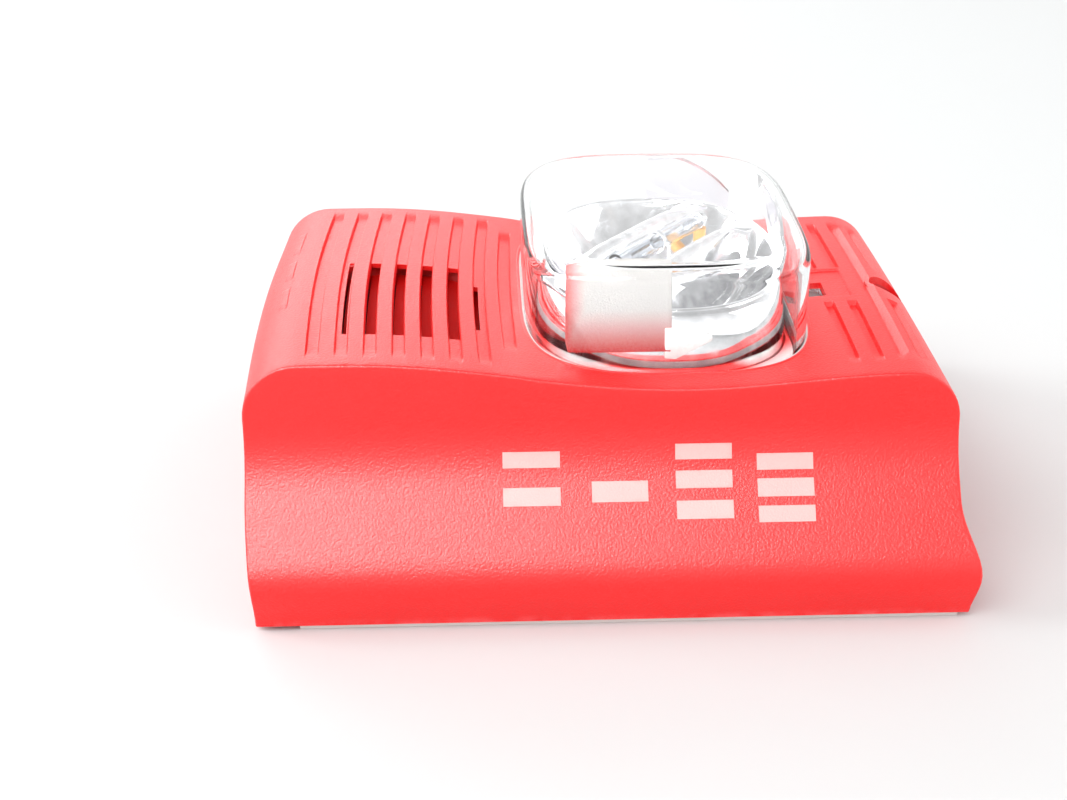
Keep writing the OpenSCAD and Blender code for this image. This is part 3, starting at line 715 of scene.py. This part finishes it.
def makeInside():
    n = inside
    past, lead = n["past"], n["lead"]
    out, bore, foot = n["collarOut"], n["collarIn"], n["collarZ"]
    collar = [(out, foot), (out, past), (bore, past), (bore, foot)]
    roundWall("soundCollar", n["collarAt"], collar, n["collarCover"])
    out, bore, foot, neck, seat = n["tunnelOut"], n["tunnelIn"], n["tunnelZ"], n["neck"], n["seat"]
    tunnel = [(out, foot), (out, n["tunnelRing"]), (out, past), (bore, past), (bore, seat + lead),
              (bore - lead, seat), (neck, seat), (neck, foot)]
    roundWall("screwTunnel", n["tunnelAt"], tunnel, n["tunnelCover"])
    out, bore, foot = n["postOut"], n["postIn"], n["postZ"]
    post = [(out - n["softEdge"], foot), (out, foot + n["softEdge"]), *((out, z) for z in n["postRings"]),
            (out, past), (bore, past), (bore, n["boreTop"]), (bore, foot + lead), (bore + lead, foot)]
    for i, spot in enumerate(n["posts"]):
        roundWall("coverPost%d" % (i + 1), spot, post, n["postCover"], segments=40)
    makeHook("hingeNearHook", -n["hookY"])
    makeHook("hingeFarHook", n["hookY"])


# One hinge hook: a ring, open towards the cover, on an arm that joins the end wall
def makeHook(name, y):
    n = inside
    bm = bmesh.new()
    hookX, hookZ = n["hookAt"]
    low, high = y - n["hookWidth"] / 2, y + n["hookWidth"] / 2
    bore, out, wide = n["hookIn"], n["hookOut"], n["hookWidth"]
    section = ((bore, 0), (out, 0), (out, wide), (bore, wide))
    corners = [bm.verts.new((radius, along, 0)) for radius, along in section]
    profile = bm.faces.new(corners)
    bmesh.ops.rotate(bm, matrix=Matrix.Rotation(math.radians(n["hookFrom"]), 3, "Y"), verts=corners)
    bmesh.ops.spin(bm, geom=[profile] + profile.edges[:] + corners, cent=(0, 0, 0), axis=(0, 1, 0),
                   angle=math.radians(n["hookTurn"]), steps=30)
    bmesh.ops.translate(bm, vec=(hookX, low, hookZ), verts=bm.verts)
    arm = bmesh.ops.create_cube(bm, size=1.0)["verts"]
    for v in arm:
        v.co = (n["armX"] if v.co.x < 0 else hookX - n["armLap"], low + 0.02 if v.co.y < 0 else high - 0.02,
                n["armLow"] if v.co.z < 0 else n["armHigh"])
    return finishPiece(bm, name, "head", finish["redInner"], recalc=True, sharp=30)


baffle = {"lap": 0.05, "start": -30.8, "length": 41.0, "under": 4.3, "thick": 1.4, "barsAt": (-31.2, 9.0),
          "barUnder": 4.4, "bar": 1.6}


# Baffle just behind the sound slots: one rib under each slot, joined by a bar at each end
def makeBaffle():
    b = baffle
    bm = bmesh.new()
    ends = []
    for index, shift, width, low, high in slots:
        left = grooves["first"] + index * grooves["pitch"] + shift - b["lap"]
        right = left + width + 2 * b["lap"]
        ends += [left, right]

        def ribPoint(i, j):
            y = b["start"] + b["length"] * i / 24
            x = (left if j in (0, 1, 4) else right) + bowAt(left, y)
            return x, y, faceHeight(x, y) - b["under"] - (b["thick"] if j in (0, 3, 4) else 0.0)
        closeEnds(bm, gridSheet(bm, 24, 4, ribPoint))
    for side in b["barsAt"]:
        def barPoint(i, j):
            x = ends[0] + (ends[-1] - ends[0]) * i / 16
            z = faceHeight(x, side) - b["barUnder"] - (b["bar"] if j in (0, 3, 4) else 0.0)
            return x + bowAt(x, side), side + (0.0 if j in (0, 1, 4) else b["bar"]), z
        closeEnds(bm, gridSheet(bm, 16, 4, barPoint))
    return finishPiece(bm, "soundBaffle", "head", finish["redRib"], recalc=True)


# Plain pale bars printed on the flank, in groups of (low x, high x, the low and high z of each bar)
sideBars = {
    "groups": [
        (-20.5, -9.5, [(28.6, 31.4), (22.6, 25.4)]),
        (-3.5, 7.3, [(23.0, 26.2)]),
        (12.7, 23.6, [(29.6, 32.4), (24.9, 27.7), (20.2, 23.0)]),
        (28.4, 39.3, [(27.6, 30.4), (23.4, 26.2), (19.5, 22.0)]),
    ],
    "proud": 0.1, "sunk": 0.3,
}


def makeSideBars():
    bm = bmesh.new()
    for x0, x1, z0, z1 in [(low, high, *bar) for low, high, bars in sideBars["groups"] for bar in bars]:
        def place(i, j):
            z = z0 + (z1 - z0) * (j if j < 7 else 13 - j) / 6
            if j == 14:
                return place(i, 0)
            out = sideBars["proud"] if j < 7 else -sideBars["sunk"]
            return x0 + (x1 - x0) * i / 8, -halfWidthAt(z) - out, z
        closeEnds(bm, gridSheet(bm, 8, 14, place))
    return finishPiece(bm, "sideBars", "head", finish["palePrint"], recalc=True)


# Plain raised dashes: their spans of y, the angle they start at, and their section as (degrees, rise)
dashes = {
    "spans": ((-17.0, -6.5), (-1.5, 9.0), (14.0, 27.5)), "from": 62.0,
    "section": ((0, 0), (0.6, 0.16), (2, 0.22), (5, 0.22), (8, 0.22), (9.4, 0.16), (10, 0), (10, -0.3),
                (0, -0.3)),
}


# Three dashes on the rounded upper end
def makeDashes():
    h, corner = housing, housing["upperCorner"]
    bm = bmesh.new()
    for low, high in dashes["spans"]:
        def place(i, j):
            y = low + (high - low) * i / 8
            degrees, rise = dashes["section"][j % 9]
            around = math.radians(dashes["from"] + degrees)
            reach = corner + (min(rise, 0.0) if i in (0, 8) else rise)
            x = h["upperEnd"] + corner - reach * math.cos(around)
            crown = h["crown"] * math.sin(around) * (1 - (y / h["faceHalf"]) ** 2)
            return x + bowAt(x, y), y, h["crest"] - corner + reach * math.sin(around) + crown
        closeEnds(bm, gridSheet(bm, 8, 9, place))
    return finishPiece(bm, "endDashes", "head", finish["redShell"], recalc=True)


makeInside()
makeBaffle()
makeSideBars()
makeDashes()
print("cover insides made")


# Joins rings of (centre x, centre y, half x, half y, z, power) in order
def loftRings(bm, rings, segments, flip=False):
    def place(i, j):
        cx, cy, halfX, halfY, z, power = rings[j]
        x, y = squareRound(2 * math.pi * i / segments, halfX, halfY, power)
        return cx + x, cy + y, z
    return gridSheet(bm, segments, len(rings) - 1, place, flip)


# Rings over the rounded shoulder, then in across the crowned top, growing more oval on the way
def lensRings(inset, top, shoulder):
    d = lensForm
    halfX, halfY = d["halfX"] - inset, d["halfY"] - inset
    rings = []
    for step in range(9):
        t = math.pi / 2 * step / 8
        pull = shoulder * (1 - math.cos(t))
        z = d["shoulderZ"] + (top - d["crown"] - d["shoulderZ"]) * math.sin(t)
        rings.append((d["x"], 0, halfX - pull, halfY - pull, z, d["power"] - d["shoulderEase"] * step / 8))
    flatX, flatY = halfX - shoulder, halfY - shoulder
    for share in (0.85, 0.65, 0.45, 0.25, 0.1, 0.0):
        power = d["power"] - d["shoulderEase"] - d["topEase"] * (1 - share)
        rings.append((d["x"], 0, flatX * share, flatY * share, top - d["crown"] * share ** 2, power))
    return rings


def makeLens():
    d = lensForm
    bm = bmesh.new()
    outer = lensRings(0.0, d["top"], d["shoulder"])
    inner = lensRings(d["wall"], d["top"] - d["wall"], d["shoulder"] - d["wall"])
    flange = [(-d["wall"], d["flangeZ"]), (d["lip"] - 0.2, d["flangeZ"]), (d["lip"], d["flangeZ"] + 0.2),
              (d["lip"], d["flangeTop"]), (0.5, d["flangeTop"])]
    flange += [(out, d["flangeTop"] + rise) for out, rise in d["footRings"]]
    base = [(d["x"], 0, d["halfX"] + out, d["halfY"] + out, z, d["power"]) for out, z in flange]
    loftRings(bm, list(reversed(inner)) + base + outer, d["segments"])
    return finishPiece(bm, "lensDome", "head", finish["clearDome"], ["lens"], sharp=50)


makeLens()


# A bead run round the dome where it meets the face: the pale seal, then the rounded red edge of the opening
def makeBead(name, material, out, width, rise, deep):
    d = lensForm
    bm = bmesh.new()

    def place(i, j):
        if j == 11:
            return place(i, 0)
        below = j in (9, 10)
        swell = math.pi * min(j, 8) / 8
        grow = out + (width * (10 - j) if below else width * (1 - math.cos(swell)) / 2)
        turn = 2 * math.pi * i / d["segments"]
        x, y = squareRound(turn, d["halfX"] + grow, d["halfY"] + grow, d["power"])
        top = faceHeight(d["x"] + x, y)
        return d["x"] + x, y, top - deep if below else top - 0.12 + rise * math.sin(swell)
    gridSheet(bm, d["segments"], 11, place)
    return finishPiece(bm, name, "head", material, recalc=True)


makeBead("domeSeal", finish["sealPale"], 0.03, 0.31, 0.0, 1.6)
makeBead("openingEdge", finish["redShell"], 0.37, 0.66, 0.30, 1.0)
print("lens made")


# Reflector: a metallised oval bowl with a slantwise trough for the lamp, on a skirt that flares at its foot
mirror = {
    "x": 13.2, "turn": 52.0, "rimX": 23.6, "rimY": 30.6, "rimZ": 54.2, "rimWidth": 1.3, "power": 2.3,
    "ridgeAt": 7.2, "ridgeZ": 56.6, "ridgeHalf": 1.1, "troughZ": 47.5, "troughPower": 1.3, "half": 27.0,
    "bowlZ": 44.6, "bowlRun": 8.5, "bowlPower": 0.7, "wallFrom": 0.5, "wallPower": 2.4, "rimRise": 0.55,
    "footX": 26.7, "footY": 34.4, "footZ": 42.6, "footPower": 2.7, "underDrop": 0.8, "underX": 18.0,
    "underY": 24.0, "segments": 144, "rings": 46, "rimSteps": 6, "skirtSteps": 14,
}


# Height of the bowl at a share of the way out to the rim, over lamp-wise coordinates
def mirrorZ(along, across, share):
    m = mirror
    side = abs(across)
    if side < m["ridgeAt"]:
        deep = m["troughZ"] + (m["ridgeZ"] - m["troughZ"]) * ease(side / m["ridgeAt"]) ** m["troughPower"]
    else:
        out = (side - m["ridgeAt"] - m["ridgeHalf"]) / m["bowlRun"]
        deep = m["bowlZ"] + (m["ridgeZ"] - m["bowlZ"]) * (1 - ease(out) ** m["bowlPower"])
    if deep > m["rimZ"]:
        deep = m["rimZ"] + (deep - m["rimZ"]) * (1 - min(1.0, abs(along) / m["half"]) ** 4)
    wall = max(0.0, (share - m["wallFrom"]) / (1 - m["wallFrom"])) ** m["wallPower"]
    return deep + (m["rimZ"] - deep) * wall


def makeReflector():
    m = mirror
    bm = bmesh.new()
    turn = math.radians(m["turn"])

    def bowl(i, j):
        share = j / m["rings"]
        x, y = squareRound(2 * math.pi * i / m["segments"], m["rimX"] * share, m["rimY"] * share, m["power"])
        along = x * math.cos(turn) + y * math.sin(turn)
        across = -x * math.sin(turn) + y * math.cos(turn)
        return m["x"] + x, y, mirrorZ(along, across, share)
    gridSheet(bm, m["segments"], m["rings"], bowl)
    x, power, rings = m["x"], m["power"], []
    for step in range(m["rimSteps"] + 1):
        t = math.pi * step / m["rimSteps"]
        out = m["rimWidth"] * (1 - math.cos(t)) / 2
        rings.append((x, 0, m["rimX"] + out, m["rimY"] + out, m["rimZ"] + m["rimRise"] * math.sin(t), power))
    rimX, rimY = m["rimX"] + m["rimWidth"], m["rimY"] + m["rimWidth"]
    for step in range(1, m["skirtSteps"] + 1):
        share = step / m["skirtSteps"]
        out, down = math.sin(share * math.pi / 2), 1 - math.cos(share * math.pi / 2)
        rings.append((x, 0, rimX + (m["footX"] - rimX) * out, rimY + (m["footY"] - rimY) * out,
                      m["rimZ"] + (m["footZ"] - m["rimZ"]) * down, power + (m["footPower"] - power) * share))
    underZ = m["footZ"] - m["underDrop"]
    rings += [(x, 0, m["footX"], m["footY"], underZ, m["footPower"]),
              (x, 0, m["underX"], m["underY"], underZ, power), (x, 0, 0, 0, underZ, 2.0)]
    loftRings(bm, rings, m["segments"])
    return finishPiece(bm, "lampReflector", "head", finish["mirrorCoat"], ["reflector"],
                       weld=0.01, sharp=60, recalc=True)


makeReflector()


# A leaf rises as it runs along Y, cupped towards the lamp; its twin is turned half round
ears = {
    "x": 25.6, "bulge": 1.6, "cup": 1.05, "lean": 0.8, "startY": -9.0, "length": 33.0, "lowZ": 49.5,
    "rise": 12.5, "width": 7.4, "slantY": 0.75, "slantZ": 0.9, "topZ": 62.5, "thick": 0.7,
}


# Leaf-shaped side mirrors at the two ends of the bowl
def makeEars():
    e = ears
    bm = bmesh.new()

    def leaf(i, j):
        along, across = i / 24, j / 8 - 0.5
        wide = e["width"] * math.sin(math.pi * min(1.0, along * 0.97 + 0.03)) ** 0.8 * across
        x = e["x"] + e["bulge"] * math.sin(math.pi * along)
        x += e["lean"] * across - e["cup"] * (across * 2) ** 2
        z = e["lowZ"] + e["rise"] * along ** 0.9 + e["slantZ"] * wide
        return mirror["x"] + x, e["startY"] + e["length"] * along - e["slantY"] * wide, min(z, e["topZ"])
    gridSheet(bm, 24, 8, leaf)
    bmesh.ops.remove_doubles(bm, verts=bm.verts, dist=0.01)
    bmesh.ops.solidify(bm, geom=bm.faces[:], thickness=e["thick"])
    twin = bmesh.ops.duplicate(bm, geom=bm.verts[:] + bm.edges[:] + bm.faces[:])["geom"]
    halfTurn = Matrix.Rotation(math.pi, 3, "Z")
    bmesh.ops.rotate(bm, cent=(mirror["x"], 0, 0), matrix=halfTurn, verts=vertsOf(twin))
    return finishPiece(bm, "sideMirrors", "head", finish["mirrorCoat"], weld=0.001)


makeEars()


# The ledge's section: (out from the reflector's foot, z), then (out from its own outer edge, z)
ledge = {"room": 0.15, "inner": ((-1.5, 41.0), (-1.5, 41.5), (0.15, 41.5), (0.35, 42.3)),
         "outer": ((-0.7, 42.5), (-0.2, 42.6), (0.0, 42.9), (0.0, 41.0))}


# Ledge inside the foot of the dome, outside the reflector's foot
def makeLedge():
    d, m = lensForm, mirror
    bm = bmesh.new()
    outX, outY = d["halfX"] - d["wall"] - ledge["room"], d["halfY"] - d["wall"] - ledge["room"]
    rings = [(m["x"], 0, m["footX"] + out, m["footY"] + out, z, m["footPower"]) for out, z in ledge["inner"]]
    rings += [(d["x"], 0, outX + out, outY + out, z, d["power"]) for out, z in ledge["outer"]]
    loftRings(bm, rings + rings[:1], m["segments"], flip=True)
    return finishPiece(bm, "domeLedge", "head", finish["ledgeSeat"])


makeLedge()


# Solid optical blocks inside the dome: a frosted one at the near end, a clear one at the far end
# back and front are the y of the top edge and of the foot, and arc is the radius of the top
blocks = {
    "near": {"x": (-7.6, 12.6), "back": (-30.2, -28.8), "front": (-31.6, -35.3), "top": 64.4, "peak": 4.0,
             "arc": 62.0, "low": 47.4},
    "far": {"x": (13.6, 32.6), "back": (32.4, 31.0), "front": (34.2, 35.2), "top": 65.1, "peak": 13.2,
            "arc": 25.0, "low": 47.5},
    "wedge": {"outline": [(11.2, 46.0), (13.4, 45.8), (20.4, 49.6), (20.4, 50.4), (13.2, 52.0), (11.2, 52.0)],
              "y": (-33.6, -35.2)},
    "topFall": 1.2, "footRise": 2.0, "edge": 0.3, "wedgeEdge": 0.22,
}


# A block's section, back low, back top, front top and front low, is carried along X in steps
def makeBlock(name, form, material):
    x0, x1 = form["x"]
    backTop, backLow = form["back"]
    frontTop, frontLow = form["front"]
    backFoot = form["low"] + blocks["footRise"]
    bm = bmesh.new()

    def section(i, j):
        x = x0 + (x1 - x0) * i / 20
        away = x - form["peak"]
        high = form["top"] - form["arc"] + math.sqrt(max(0.0, form["arc"] ** 2 - away ** 2))
        y = (backLow, backTop, frontTop, frontLow, backLow)[j]
        return x, y, (backFoot, high, high - blocks["topFall"], form["low"], backFoot)[j]
    gridSheet(bm, 20, 4, section)
    bmesh.ops.remove_doubles(bm, verts=bm.verts, dist=0.001)
    bmesh.ops.holes_fill(bm, edges=[e for e in bm.edges if e.is_boundary], sides=0)
    bmesh.ops.recalc_face_normals(bm, faces=bm.faces)
    sharpEdges = [e for e in bm.edges if len(e.link_faces) == 2 and e.calc_face_angle() > 0.6]
    bmesh.ops.bevel(bm, geom=sharpEdges, offset=blocks["edge"], offset_type="OFFSET", affect="EDGES",
                    segments=2, profile=0.5, material=-1)
    return finishPiece(bm, name, "head", material, weld=0.0005, sharp=40)


# Pointed frosted wedge at the near block's lower corner
def makeWedge():
    bm = bmesh.new()
    back, front = blocks["wedge"]["y"]
    outline = bm.faces.new([bm.verts.new((x, back, z)) for x, z in blocks["wedge"]["outline"]])
    made = bmesh.ops.extrude_face_region(bm, geom=[outline], use_keep_orig=True)
    bmesh.ops.translate(bm, vec=(0, front - back, 0), verts=vertsOf(made["geom"]))
    bmesh.ops.bevel(bm, geom=bm.edges[:], offset=blocks["wedgeEdge"], offset_type="OFFSET", affect="EDGES",
                    segments=2, profile=0.5, material=-1)
    return finishPiece(bm, "blockWedge", "head", finish["frostPale"], recalc=True)


makeBlock("frostedBlock", blocks["near"], finish["frostBlock"])
makeWedge()
makeBlock("clearBlock", blocks["far"], finish["clearBlock"])
print("reflector and optics made")


# Studio: pale floor, soft lights, camera
def makeFloor():
    bm = bmesh.new()
    bmesh.ops.create_grid(bm, x_segments=2, y_segments=2, size=4000)
    material, tree, shader = newMaterial("paleFloor", Roughness=0.9)
    shader.inputs["Specular IOR Level"].default_value = 0.1
    cloud = noiseAt(tree, objectPlace(tree), 3.0)
    colour = mixColour(tree, cloud, (0.60, 0.61, 0.61, 1), (0.62, 0.63, 0.63, 1))
    tree.links.new(colour, shader.inputs["Base Color"])
    finishPiece(bm, "floor", None, material)


# Each softbox has a name, place, size, power, and whether it only makes gloss, and is turned to the target
lightTarget = (0, 0, 0.02)
studioLights = [
    ("frontTopSoftbox", (-0.42, -0.62, 0.84), (0.95, 0.42), 7.0, False),
    ("sheenSoftbox", (-0.41, -0.61, 0.83), (0.95, 0.42), 17.0, True),
    ("backSoftbox", (-0.55, 1.2, 0.72), (1.3, 0.7), 10.0, False),
    ("leftSoftbox", (-1.25, 0.1, 0.62), (0.6, 0.6), 11.0, False),
    ("rightSoftbox", (1.3, -0.1, 0.75), (1.0, 0.8), 4.0, False),
]


def addSoftLight(name, place, size, power, glossOnly):
    data = bpy.data.lights.new(name, "AREA")
    data.shape = "RECTANGLE"
    data.size, data.size_y = size
    data.energy = power
    light = bpy.data.objects.new(name, data)
    bpy.context.scene.collection.objects.link(light)
    light.location = place
    light.rotation_euler = (Vector(lightTarget) - Vector(place)).to_track_quat("-Z", "Y").to_euler()
    light.visible_diffuse = not glossOnly


# The air is brightest near the horizon and dims upwards
def makeStudio():
    makeFloor()
    for light in studioLights:
        addSoftLight(*light)
    world = bpy.data.worlds.new("studioAir")
    bpy.context.scene.world = world
    world.use_nodes = True
    tree = world.node_tree
    toward = addNode(tree, "TexCoord").outputs["Generated"]
    height = addNode(tree, "SeparateXYZ", {0: toward}).outputs["Z"]
    air = tree.nodes["Background"]
    air.inputs[0].default_value = (1, 1, 1, 1)
    tree.links.new(remap(tree, height, 0.12, 0.9, 1.45, 0.6), air.inputs[1])


# Camera place in millimetres, angles in radians, focal length and sensor in millimetres
cameraForm = {"place": (-23.83, -334.51, 181.91), "pitch": 0.44953, "turn": 0.032266, "roll": -0.003289,
              "focal": 57.357076, "sensor": 36.0}


def makeCamera():
    c = cameraForm
    a, t, r = c["turn"], c["pitch"], c["roll"]
    forward = Vector((math.sin(a) * math.cos(t), math.cos(a) * math.cos(t), -math.sin(t)))
    right = forward.cross(Vector((0, 0, 1))).normalized()
    up = right.cross(forward)
    tilted = right * math.cos(r) + up * math.sin(r)
    up = tilted.cross(forward)
    data = bpy.data.cameras.new("productCamera")
    data.lens = c["focal"]
    data.sensor_width = c["sensor"]
    data.clip_start = 0.01
    camera = bpy.data.objects.new("productCamera", data)
    bpy.context.scene.collection.objects.link(camera)
    turn = Matrix((tilted, up, -forward)).transposed().to_4x4()
    camera.matrix_world = Matrix.Translation(Vector(c["place"]) * 0.001) @ turn
    bpy.context.scene.camera = camera


makeStudio()
makeCamera()
bpy.context.scene.view_settings.view_transform = "Standard"
print("studio and camera ready")
